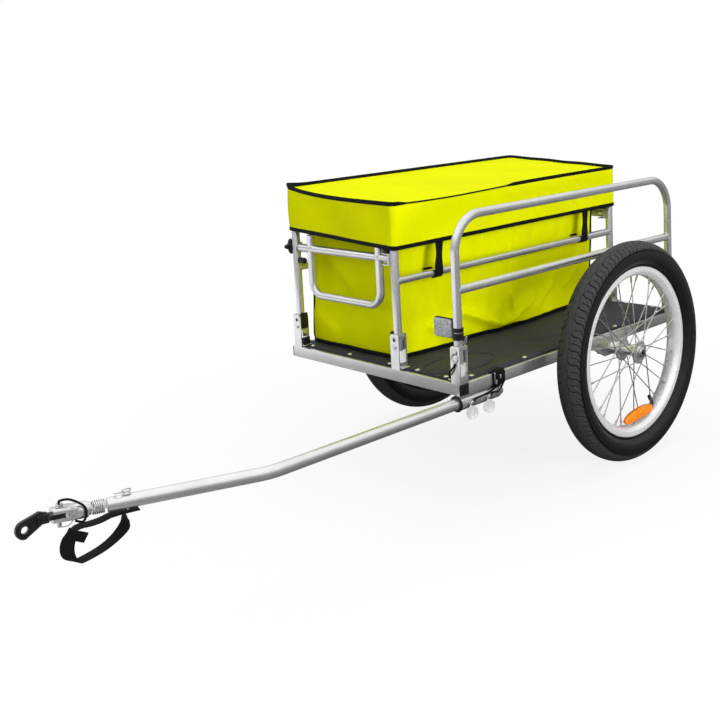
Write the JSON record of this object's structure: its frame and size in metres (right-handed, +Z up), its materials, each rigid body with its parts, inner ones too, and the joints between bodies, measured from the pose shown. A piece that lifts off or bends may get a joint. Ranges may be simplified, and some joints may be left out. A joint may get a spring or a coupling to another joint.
{
  "type": "bicycle cargo trailer",
  "caption": "Bicycle cargo trailer: silver tube frame on two spoked wheels, covered yellow bag in a cage, folding side hoop, bent drawbar with a sprung axle hitch.",
  "frame": {"origin": "on the ground, midway along and across the trailer's bounding box", "axes": "+X towards the trailer's left side, +Y towards its rear, +Z up; the drawbar points along -Y"},
  "size_m": [0.5866, 1.3528, 0.5336],
  "materials": {
    "silver_paint": "silver powder coat, satin",
    "zinc": "bright zinc plate",
    "alloy": "polished",
    "black_plastic": "moulded, satin",
    "black_paint": "black powder coat",
    "rubber": "black, moulded tread",
    "floor_board": "dark grey, fine texture",
    "yellow_cloth": "coated woven cloth with black binding",
    "webbing": "black woven webbing and braided cord",
    "amber_reflector": "amber prismatic",
    "clear_reflector": "clear prismatic"
  },
  "bodies": {
    "frame": {"front_rail": "silver_paint", "rear_rail": "silver_paint", "side_rail_left": "silver_paint", "side_rail_right": "silver_paint", "floor_panel": "floor_board", "end_cap_front_left": "black_plastic", "end_cap_front_right": "black_plastic", "end_cap_rear_left": "black_plastic", "end_cap_rear_right": "black_plastic", "cage_side_left": "silver_paint", "cage_side_right": "silver_paint", "cross_tube_rear": "silver_paint", "post_stub": "black_plastic", "axle_plate_left": "silver_paint", "axle_plate_right": "silver_paint", "drawbar_tube": "alloy", "drawbar_receiver": "alloy", "receiver_collar": "black_plastic", "bag": "yellow_cloth", "safety_strap": "webbing", "lanyard_1": "webbing", "lanyard_2": "webbing", "lanyard_hoop_pin": "webbing"},
    "handle": {"push_handle": "silver_paint"},
    "star_front": {"star_knob_front": "black_plastic"},
    "star_rear": {"star_knob_rear": "black_plastic"},
    "thumb_front": {"thumb_screw_front": "black_plastic"},
    "thumb_rear": {"thumb_screw_rear": "black_plastic"},
    "lid": {"lid": "yellow_cloth"},
    "hoop": {"hoop_tube": "silver_paint", "hoop_sleeve_front": "black_plastic", "hoop_sleeve_rear": "black_plastic", "front_reflector": "clear_reflector"},
    "hoop_pin_front": {"hoop_pin_front": "zinc"},
    "hoop_pin_rear": {"hoop_pin_rear": "zinc"},
    "drawbar_pin_1": {"drawbar_pin_1": "zinc"},
    "drawbar_pin_2": {"drawbar_pin_2": "zinc"},
    "pull_tab_1": {"pull_tab_1": "zinc"},
    "pull_tab_2": {"pull_tab_2": "zinc"},
    "top_pin": {"top_pin": "zinc"},
    "spring": {"coupling_spring": "zinc"},
    "head": {"coupling_head": "alloy", "lanyard_hitch_pin": "webbing"},
    "hitch_plate": {"hitch_plate": "black_paint"},
    "hitch_pin": {"hitch_pin": "alloy"},
    "hitch_bail": {"hitch_bail": "alloy"},
    "axle_pin_left": {"axle_pin_left": "zinc"},
    "axle_pin_right": {"axle_pin_right": "zinc"},
    "axle_button_left": {"axle_button_left": "black_plastic"},
    "axle_button_right": {"axle_button_right": "black_plastic"},
    "wheel_left": {"tyre_left": "rubber", "rim_left": "alloy", "spoked_hub_left": "alloy", "spoke_reflector_left": "amber_reflector"},
    "wheel_right": {"tyre_right": "rubber", "rim_right": "alloy", "spoked_hub_right": "alloy", "spoke_reflector_right": "amber_reflector"}
  },
  "joints": [
    {"name": "handle_swing", "type": "hinge", "parent": "frame", "child": "handle", "pos_m": [0, 0.03311, 0.422], "axis": [-1, 0, 0], "range_deg": [0, 120]},
    {"name": "star_front_turn", "type": "hinge", "parent": "frame", "child": "star_front", "pos_m": [-0.2073, 0.03311, 0.422], "axis": [1, 0, 0], "continuous": true},
    {"name": "thumb_front_turn", "type": "hinge", "parent": "frame", "child": "thumb_front", "pos_m": [0.05025, 0.03311, 0.4325], "axis": [0, 0, 1], "continuous": true},
    {"name": "star_rear_turn", "type": "hinge", "parent": "frame", "child": "star_rear", "pos_m": [-0.2073, 0.66311, 0.422], "axis": [1, 0, 0], "continuous": true},
    {"name": "thumb_rear_turn", "type": "hinge", "parent": "frame", "child": "thumb_rear", "pos_m": [0.05025, 0.66311, 0.4325], "axis": [0, 0, 1], "continuous": true},
    {"name": "lid_lift", "type": "slide", "parent": "frame", "child": "lid", "axis": [0, 0, 1], "range_m": [0, 0.25]},
    {"name": "hoop_fold", "type": "hinge", "parent": "frame", "child": "hoop", "pos_m": [0.207, 0.02311, 0.2835], "axis": [0, -1, 0], "range_deg": [0, 30]},
    {"name": "hoop_pin_front_pull", "type": "slide", "parent": "frame", "child": "hoop_pin_front", "axis": [0, -1, 0], "range_m": [0, 0.03], "deforming": ["lanyard_hoop_pin"]},
    {"name": "hoop_pin_rear_pull", "type": "slide", "parent": "frame", "child": "hoop_pin_rear", "axis": [0, 1, 0], "range_m": [0, 0.03]},
    {"name": "drawbar_pin_1_pull", "type": "slide", "parent": "frame", "child": "drawbar_pin_1", "axis": [1, 0, 0], "range_m": [0, 0.03], "deforming": ["lanyard_1"]},
    {"name": "pull_tab_1_swing", "type": "hinge", "parent": "drawbar_pin_1", "child": "pull_tab_1", "pos_m": [0.205, 0.04411, 0.1967], "axis": [1, 0, 0], "range_deg": [-45, 45]},
    {"name": "drawbar_pin_2_pull", "type": "slide", "parent": "frame", "child": "drawbar_pin_2", "axis": [1, 0, 0], "range_m": [0, 0.03], "deforming": ["lanyard_2"]},
    {"name": "pull_tab_2_swing", "type": "hinge", "parent": "drawbar_pin_2", "child": "pull_tab_2", "pos_m": [0.205, 0.08611, 0.1967], "axis": [1, 0, 0], "range_deg": [-45, 45]},
    {"name": "top_pin_pull", "type": "slide", "parent": "frame", "child": "top_pin", "axis": [0, 0, 1], "range_m": [0, 0.03]},
    {"name": "coupling_yaw", "type": "hinge", "parent": "frame", "child": "spring", "pos_m": [0.1224, -0.56867, 0.19694], "axis": [0, 0, 1], "range_deg": [-40, 40], "stiffness_Nm_per_rad": 6, "deforming": ["coupling_spring", "safety_strap"]},
    {"name": "coupling_pitch", "type": "hinge", "parent": "spring", "child": "head", "pos_m": [0.1224, -0.56867, 0.19694], "axis": [0.9877, -0.1564, 0], "range_deg": [-30, 30], "stiffness_Nm_per_rad": 6, "deforming": ["coupling_spring", "safety_strap"]},
    {"name": "hitch_swivel", "type": "hinge", "parent": "head", "child": "hitch_plate", "pos_m": [0.11403, -0.61781, 0.20106], "axis": [0.0136, 0.0861, 0.9962], "range_deg": [-34, 16]},
    {"name": "hitch_pin_lift", "type": "slide", "parent": "head", "child": "hitch_pin", "axis": [0.0136, 0.0861, 0.9962], "range_m": [0, 0.0235], "deforming": ["lanyard_hitch_pin"]},
    {"name": "bail_swing", "type": "hinge", "parent": "hitch_pin", "child": "hitch_bail", "pos_m": [0.11419, -0.61684, 0.21232], "axis": [-0.1558, -0.9839, 0.0872], "range_deg": [0, 100], "deforming": ["lanyard_hitch_pin"]},
    {"name": "axle_pin_left_pull", "type": "slide", "parent": "frame", "child": "axle_pin_left", "axis": [1, 0, 0], "range_m": [0, 0.07]},
    {"name": "axle_button_left_press", "type": "slide", "parent": "axle_pin_left", "child": "axle_button_left", "axis": [-1, 0, 0], "range_m": [0, 0.0025], "stiffness_N_per_m": 150},
    {"name": "wheel_left_spin", "type": "hinge", "parent": "axle_pin_left", "child": "wheel_left", "pos_m": [0.265, 0.43711, 0.205], "axis": [1, 0, 0], "continuous": true},
    {"name": "axle_pin_right_pull", "type": "slide", "parent": "frame", "child": "axle_pin_right", "axis": [-1, 0, 0], "range_m": [0, 0.07]},
    {"name": "axle_button_right_press", "type": "slide", "parent": "axle_pin_right", "child": "axle_button_right", "axis": [1, 0, 0], "range_m": [0, 0.0025], "stiffness_N_per_m": 150},
    {"name": "wheel_right_spin", "type": "hinge", "parent": "axle_pin_right", "child": "wheel_right", "pos_m": [-0.265, 0.43711, 0.205], "axis": [1, 0, 0], "continuous": true}
  ],
  "couplings": [
    {"joint": "bail_swing", "follows": "hitch_pin_lift", "rad_per_m": 74.07}
  ]
}
